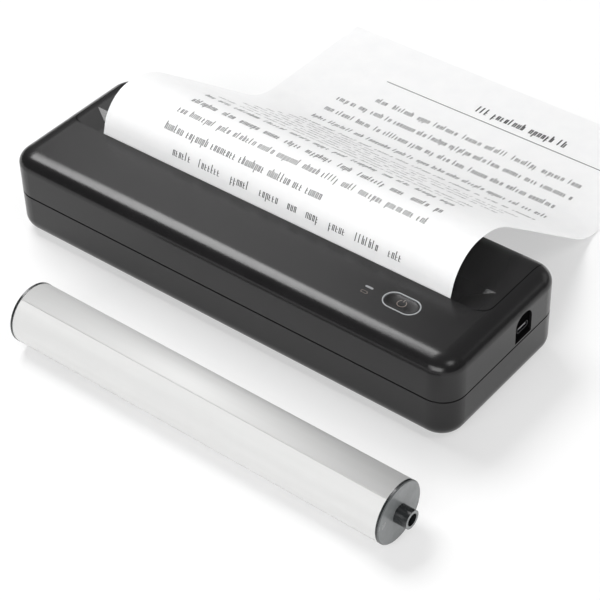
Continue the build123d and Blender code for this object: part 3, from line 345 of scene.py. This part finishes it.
looks = {
    "case_charcoal": moulded("case_plastic", (0.0105, 0.0101, 0.0105), 0.23, level=0.36),
    "button_plastic": moulded(
        "button_plastic", (0.009, 0.0087, 0.009), 0.24, grain=3200.0, depth=8 * MICRON, level=0.40
    ),
    "ring_grey": moulded(
        "ring_plastic", (0.36, 0.37, 0.38), 0.26, grain=2000.0, depth=5 * MICRON, spread=0.06
    ),
    "black_plastic": moulded("black_plastic", (0.010, 0.010, 0.011), 0.42),
    "port_black": moulded("port_black", (0.003, 0.003, 0.0032), 0.6, level=0.02, index=1.1),
    "tongue_grey": moulded("tongue_grey", (0.36, 0.36, 0.37), 0.4, grain=1500.0, depth=6 * MICRON),
    "plunger_plastic": moulded("plunger_plastic", (0.2, 0.2, 0.21), 0.38),
    "acetal_white": moulded(
        "acetal_white", (0.78, 0.77, 0.72), 0.38, grain=1800.0, depth=8 * MICRON, spread=0.04
    ),
    "brass": metal("brass", (0.72, 0.52, 0.22), 0.28),
    "steel": metal("steel", (0.60, 0.60, 0.61), 0.26, brushed=(0.05, 1.0, 1.0)),
    "screw_steel": metal("screw_steel", (0.16, 0.16, 0.17), 0.34),
    "dark_nickel": metal("dark_nickel", (0.045, 0.045, 0.05), 0.34),
    "zinc_sheet": metal("zinc_sheet", (0.55, 0.57, 0.58), 0.33, tint=0.16),
    "heat_sink_aluminium": metal(
        "heat_sink_aluminium", (0.72, 0.73, 0.74), 0.3, brushed=(0.06, 1.0, 1.0)
    ),
    "ceramic": moulded(
        "ceramic", (0.80, 0.79, 0.75), 0.2, grain=900.0, depth=4 * MICRON, spread=0.04
    ),
    "platen_rubber": soft_rubber("platen_rubber", (0.022, 0.022, 0.023)),
    "foot_rubber": soft_rubber("foot_rubber", (0.014, 0.014, 0.015)),
    "thermal_paper": thermal_paper(),
    "core_plastic": moulded("core_plastic", (0.014, 0.015, 0.016), 0.3),
    "flange_smoke": smoked_plastic(),
    "circuit_board": solder_mask(),
    "led_white": frosted("led_white", (0.85, 0.85, 0.78)),
    "light_guide": frosted("light_guide", (0.27, 0.275, 0.285)),
    "cell_wrap": wrapped_cell(),
}
# the rolls' paper, painted darker than the sheet's as painted shade
shaded_roll_look = shaded_roll_paper()
mark_look = moulded("mark_print", (0.19, 0.155, 0.135), 0.4)


def dress_nodes(own):
    """Gives every CAD node the look of its material slot, or one of its own."""
    for row in frame["record"]["subparts"]:
        look = own.get(row["node"], looks[row["material_slot"]])
        for slot in nodes[row["node"]].material_slots:
            slot.link = "OBJECT"
            slot.material = look


dress_nodes({"spare_roll_paper": shaded_roll_look, "roll_paper": shaded_roll_look})


# ---------------------------------------------------------------- mesh helpers
def mesh_piece(name, vertices, faces, look, body, slot):
    """A new piece from its points and faces, which rides on a body."""
    data = bpy.data.meshes.new(name)
    data.from_pydata([tuple(v) for v in vertices], [], faces)
    data.update()
    data.materials.append(look)
    piece = bpy.data.objects.new(name, data)
    scene.collection.objects.link(piece)
    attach(piece, body)
    return piece


def surface_of(node):
    """A ray-cast tree of a CAD node, to lay thin marks on its own surface."""
    mesh = nodes[node].data
    mesh.calc_loop_triangles()
    points = [v.co.copy() for v in mesh.vertices]
    return BVHTree.FromPolygons(points, [tuple(t.vertices) for t in mesh.loop_triangles])


def lying(tree, x, y):
    """The point of the surface below (x, y) in millimetres, lifted a little."""
    hit = tree.ray_cast(Vector((x * MM, y * MM, RAY_START)), Vector((0, 0, -1)))[0]
    return hit + Vector((0, 0, MARK_LIFT))


def ribbon(tree, path, width, closed=False):
    """A flat line of one width along points (x, y) in millimetres, laid on a surface."""
    count = len(path)
    vertices, faces = [], []
    for i, (x, y) in enumerate(path):
        before = path[i - 1] if i or closed else path[i]
        after = path[(i + 1) % count] if i < count - 1 or closed else path[i]
        run = Vector((after[0] - before[0], after[1] - before[1])).normalized()
        side = Vector((-run.y, run.x)) * width / 2
        vertices += [lying(tree, x + way * side.x, y + way * side.y) for way in (1, -1)]
    for i in range(count if closed else count - 1):
        a, b = 2 * i, 2 * ((i + 1) % count)
        faces.append((a + 1, b + 1, b, a))
    return vertices, faces


def joined(parts):
    """One list of points and one of faces from several pairs of them."""
    vertices, faces = [], []
    for points, polygons in parts:
        start = len(vertices)
        vertices += points
        faces += [tuple(start + i for i in f) for f in polygons]
    return vertices, faces


# ---------------------------------------------------------------- marks on the case
def power_mark():
    """The generic power symbol, a broken ring and a bar, on the dished button."""
    top = surface_of("power_button")
    x, y = 89.6, -20.5
    radius, width, half_gap, steps = 2.15, 0.34, 30.0, 40
    turns = [90 + half_gap + (360 - 2 * half_gap) * i / steps for i in range(steps + 1)]
    angles = [math.radians(turn) for turn in turns]
    ring = [(x + radius * math.cos(a), y + radius * math.sin(a)) for a in angles]
    bar = [(x, y + rise) for rise in (1.3, 1.8, 2.3, 2.8)]
    vertices, faces = joined([ribbon(top, ring, width), ribbon(top, bar, width)])
    mesh_piece("power_mark", vertices, faces, mark_look, "button", "plunger_plastic")


def charge_mark():
    """A small generic battery outline below the status light."""
    top = surface_of("upper_case")
    x, y = 71.4, -24.2
    half_length, half_height, corner, corner_steps = 1.55, 0.75, 0.3, 4
    outline_width, nub_width, nub_gap, nub_half = 0.2, 0.24, 0.32, 0.32
    loop = []
    for way, rise, start in ((1, 1, 0), (-1, 1, 90), (-1, -1, 180), (1, -1, 270)):
        middle_x = x + way * (half_length - corner)
        middle_y = y + rise * (half_height - corner)
        for i in range(corner_steps + 1):
            a = math.radians(start + 90 * i / corner_steps)
            loop.append((middle_x + corner * math.cos(a), middle_y + corner * math.sin(a)))
    nub = [(x + half_length + nub_gap, y + way * nub_half) for way in (-1, 1)]
    outline = ribbon(top, loop, outline_width, closed=True)
    vertices, faces = joined([outline, ribbon(top, nub, nub_width)])
    mesh_piece("charge_mark", vertices, faces, mark_look, "case", "plunger_plastic")


power_mark()
charge_mark()


# ---------------------------------------------------------------- the printed sheet
class SheetLine:
    """The sheet's middle line in the YZ plane, as the CAD has it.

    It rises from the slot, bends back round an arc, goes over a wide crown, down a straight
    slope and through a landing curve on to the table. Millimetres and degrees.
    """

    foot = (-4.77, 46.0)  # in the slot
    lean, rise = 73.0, 5.0  # its direction there, and how far it stays straight
    arc, crown, landing = 20.7, 40.0, 40.0  # radii of the three bends
    slope = 37.5  # how steeply it comes down
    level, end = -0.87, 205.0  # its height on the table, and how far back it ends

    def __init__(self):
        bend, fall = math.radians(self.lean), math.radians(self.slope)
        top = self.step(self.foot, self.rise, self.lean)
        first = self.step(top, self.arc, self.lean - 90)
        crest = self.step(first, self.arc, 90)
        second = self.step(crest, self.crown, -90)
        down = self.step(second, self.crown, 90 - self.slope)
        flare = self.landing * (1 - math.cos(fall))
        run = (down[1] - self.level - flare) / math.sin(fall)
        start = self.step(down, run, -self.slope)
        last = self.step(start, self.landing, 90 - self.slope)
        # line: start, direction, length; arc: centre, radius, first angle, way round, length
        self.parts = [
            ("line", self.foot, self.lean, self.rise),
            ("arc", first, self.arc, self.lean + 90, -1, self.arc * bend),
            ("arc", second, self.crown, 90.0, -1, self.crown * fall),
            ("line", down, -self.slope, run),
            ("arc", last, self.landing, -90 - self.slope, 1, self.landing * fall),
            ("line", (last[0], self.level), 0.0, self.end - last[0]),
        ]
        self.length = sum(part[-1] for part in self.parts)

    @staticmethod
    def step(point, distance, angle):
        a = math.radians(angle)
        return (point[0] + distance * math.cos(a), point[1] + distance * math.sin(a))

    def at(self, x, s, off):
        """The point x along the slot and s up the sheet, off outside its middle line."""
        for part in self.parts:
            if s <= part[-1] or part is self.parts[-1]:
                break
            s -= part[-1]
        if part[0] == "line":
            _, start, direction, _ = part
            y, z = self.step(start, s, direction)
            out = direction + 90
        else:
            _, centre, radius, start, way, _ = part
            angle = start + way * math.degrees(s / radius)
            y, z = self.step(centre, radius, angle)
            out = angle if way < 0 else angle + 180
        y, z = self.step((y, z), off, out)
        return Vector((x * MM, y * MM, z * MM))


line = SheetLine()
chance = random.Random(7)


def stroke(marks, x0, s0, x1, s1, width):
    """One printed stroke in the sheet's flat layout, in short lengths that follow its curve."""
    points, faces = marks
    run = Vector((x1 - x0, s1 - s0)).normalized()
    side = Vector((-run.y, run.x)) * width / 2
    count = max(1, math.ceil(abs(s1 - s0) / STROKE_STEP))
    first = len(points)
    for i in range(count + 1):
        x, s = x0 + (x1 - x0) * i / count, s0 + (s1 - s0) * i / count
        points.extend(line.at(x + way * side.x, s + way * side.y, INK_LIFT) for way in (1, -1))
    faces.extend((a, a + 1, a + 3, a + 2) for a in range(first, first + 2 * count, 2))


def dummy_word(marks, x, s, count, height, pitch, weight):
    """Stems and joining strokes with the rhythm of print, which spell nothing."""
    thick, thin = 0.21 * pitch * weight, 0.12 * pitch * weight
    above, below = 1.45 * height, -0.45 * height
    top, waist, foot = s + height - thin / 2, s + height * 0.55, s + thin / 2
    for _ in range(count):
        kind = chance.random()
        up = above if kind < 0.22 else height
        down = below if 0.22 <= kind < 0.32 else 0.0
        far = x + pitch * chance.uniform(0.5, 0.64)
        stroke(marks, x + thick / 2, s + down, x + thick / 2, s + up, thick)
        if kind > 0.12:
            shape = chance.random()
            if shape < 0.45:
                stroke(marks, x, top, far, top, thin)
                stroke(marks, far, s, far, s + height, thick)
            elif shape < 0.75:
                stroke(marks, x, foot, far, foot, thin)
                stroke(marks, x, waist, far, waist, thin)
            else:
                stroke(marks, x, foot, far, foot, thin)
                stroke(marks, far, s, far, s + height, thick)
        x += pitch
    return x


def dummy_row(marks, x, right, s, height=2.9, pitch=1.95, gap=1.9, weight=1.15):
    """A row of such words from x to the right margin, s up the sheet."""
    while x < right - pitch:
        room = int((right - x) / pitch)
        count = min(chance.choice((2, 3, 4, 4, 5, 6, 7, 8)), room)
        x = dummy_word(marks, x, s, count, height, pitch, weight)
        x += gap * chance.uniform(0.85, 1.2)


def printed_rows():
    """The sheet's rows, with a bold row and a rule at its far end."""
    marks = ([], [])
    left, right = -70.5, 81.5
    rows = [  # from, to, height up the sheet, gap between words
        (-60.5, 77.5, 5.5, 5.4),
        (-70.0, 28.5, 16.0, 1.7),
        (-69.5, 80.0, 26.6, 1.8),
        (-69.5, right, 37.4, 3.4),
        (left, right, 49.0, 2.6),
        (left, right, 60.5, 1.8),
        (-60.0, right, 72.0, 2.2),
        (left, 44.0, 83.5, 1.9),
        (left, right, 95.0, 1.9),
        (left, right, 106.5, 2.4),
        (left, right, 118.0, 1.8),
        (left, -12.0, 129.5, 1.8),
        (left, right, 141.0, 2.2),
        (left, right, 152.5, 1.8),
        (left, right, 164.0, 2.0),
        (left, right, 175.0, 1.8),
        (-52.0, right, 186.0, 3.0),
    ]
    for start, end, s, gap in rows:
        dummy_row(marks, start, end, s, gap=gap)
    dummy_row(marks, -3.0, 55.0, 211.0, height=3.9, pitch=2.6, gap=2.4, weight=1.55)
    rule, rule_width = 205.5, 0.55
    stroke(marks, -58.0, rule, 82.0, rule, rule_width)
    mesh_piece("sheet_print", *marks, printed_ink(), "sheet", "black_plastic")


printed_rows()


# ---------------------------------------------------------------- the roll's loose end
def loose_turn():
    """The last turn of the spare roll, whose free edge stops along the roll's upper side."""
    low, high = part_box("spare_roll_paper")
    middle = (low + high) / 2
    radius = (high.z - low.z) / 2
    start, sweep, count = 62.0, 262.0, 72  # degrees up from the roll's front, and steps
    clear, thickness, free_edge = 10 * MICRON, 100 * MICRON, 140 * MICRON
    inset = 0.2 * MM
    ends = (low.x + inset, high.x - inset)
    vertices, faces = [], []
    for i in range(count + 1):
        a = math.radians(start + sweep * i / count)
        outer = radius + (thickness if i else free_edge)
        for r in (radius + clear, outer):
            y, z = middle.y - r * math.cos(a), middle.z + r * math.sin(a)
            vertices += [(x, y, z) for x in ends]
    for i in range(count):
        a, b = 4 * i, 4 * (i + 1)
        faces += [(a + 2, a + 3, b + 3, b + 2), (a, b, b + 1, a + 1)]
        faces += [(a, a + 2, b + 2, b), (a + 1, b + 1, b + 3, a + 3)]
    faces += [(0, 1, 3, 2), (4 * count, 4 * count + 2, 4 * count + 3, 4 * count + 1)]
    piece = mesh_piece("spare_roll_turn", vertices, faces, shaded_roll_look, "case", "thermal_paper")
    bm = bmesh.new()
    bm.from_mesh(piece.data)
    bmesh.ops.recalc_face_normals(bm, faces=bm.faces)
    bm.to_mesh(piece.data)
    bm.free()
    # of each step's four faces the first two are the paper's two sides, the others its edges
    polygons = piece.data.polygons
    polygons.foreach_set("use_smooth", [i % 4 < 2 for i in range(len(polygons))])


loose_turn()


# ---------------------------------------------------------------- floor, light and world
def math_node(tree, operation, first, second):
    """A field worked out from a field and another field or a number."""
    node = tree.nodes.new("ShaderNodeMath")
    node.operation = operation
    tree.links.new(first, node.inputs[0])
    if isinstance(second, bpy.types.NodeSocket):
        tree.links.new(second, node.inputs[1])
    else:
        node.inputs[1].default_value = second
    return node.outputs["Value"]


def lay_floor(half=6.0, white_share=0.5):
    """A pale floor that looks whiter than it is where it is seen, mirrored or seen through."""
    data = bpy.data.meshes.new("floor")
    corners = [(-half, -half), (half, -half), (half, half), (-half, half)]
    data.from_pydata([(x, y, cad_low.z) for x, y in corners], [], [(0, 1, 2, 3)])
    ground = bpy.data.objects.new("floor", data)
    scene.collection.objects.link(ground)
    m, tree, shader = material("floor")
    cloud = noise(tree, coordinates(tree), scale=6.0)
    drive(shader, "Base Color", ramp(tree, cloud, WIDE, 0.92, 0.94))
    shader.inputs["Roughness"].default_value = 0.9
    shader.inputs["Specular IOR Level"].default_value = 0.1
    white = tree.nodes.new("ShaderNodeEmission")
    white.inputs["Color"].default_value = colour(1.0)
    white.inputs["Strength"].default_value = 1.0
    ray = tree.nodes.new("ShaderNodeLightPath").outputs
    seen = math_node(tree, "MAXIMUM", ray["Is Camera Ray"], ray["Is Glossy Ray"])
    seen = math_node(tree, "MAXIMUM", seen, ray["Is Transmission Ray"])
    mix = tree.nodes.new("ShaderNodeMixShader")
    tree.links.new(math_node(tree, "MULTIPLY", seen, white_share), mix.inputs["Fac"])
    tree.links.new(shader.outputs["BSDF"], mix.inputs[1])
    tree.links.new(white.outputs["Emission"], mix.inputs[2])
    out = next(n for n in tree.nodes if n.type == "OUTPUT_MATERIAL")
    tree.links.new(mix.outputs["Shader"], out.inputs["Surface"])
    data.materials.append(m)


def softbox(name, direction, distance, size, watts):
    """A rectangular lamp, size metres wide and high, that looks at the printer's middle."""
    data = bpy.data.lights.new(name, "AREA")
    data.shape = "RECTANGLE"
    data.size, data.size_y = size
    data.energy = watts
    lamp = bpy.data.objects.new(name, data)
    scene.collection.objects.link(lamp)
    way = Vector(direction).normalized()
    lamp.location = PRINTER_MIDDLE + way * distance
    lamp.rotation_euler = way.to_track_quat("Z", "Y").to_euler()


def studio():
    """Soft white surroundings, brighter above and behind, darker low in front."""
    world = bpy.data.worlds.new("studio")
    scene.world = world
    world.use_nodes = True
    tree = world.node_tree
    sky = next(n for n in tree.nodes if n.type == "BACKGROUND")
    brightest = Vector((0.1, 0.72, 0.69))
    toward = tree.nodes.new("ShaderNodeVectorMath")
    toward.operation = "DOT_PRODUCT"
    toward.inputs[1].default_value = brightest
    tree.links.new(coordinates(tree, "Generated"), toward.inputs[0])
    shade = ramp(tree, toward.outputs["Value"], (0.0, 0.9), 0.10, 0.50)
    tree.links.new(shade, sky.inputs["Color"])
    sky.inputs["Strength"].default_value = 0.57


lamps = [  # name, direction from the printer, metres away, size in metres, watts
    ("key", (-0.525, 0.13, 0.84), 1.78, (0.96, 0.68), 23.6),  # the bright line on the edge
    ("fill", (0.2, -0.90, 0.39), 1.8, (1.4, 0.9), 23.0),  # the front wall
    ("corner", (0.54, -0.06, 0.84), 1.5, (0.45, 0.45), 3.0),  # the edge at the right end
    ("back", (0.45, 0.80, 0.40), 1.8, (1.0, 0.6), 1.3),  # the sheet's crown and far slope
    ("card", (-0.52, 0.52, 0.65), 0.98, (0.34, 0.5), 0.56),  # a faint sheen on the deck
]
lay_floor()
for lamp in lamps:
    softbox(*lamp)
studio()

scene.view_settings.view_transform = "Standard"
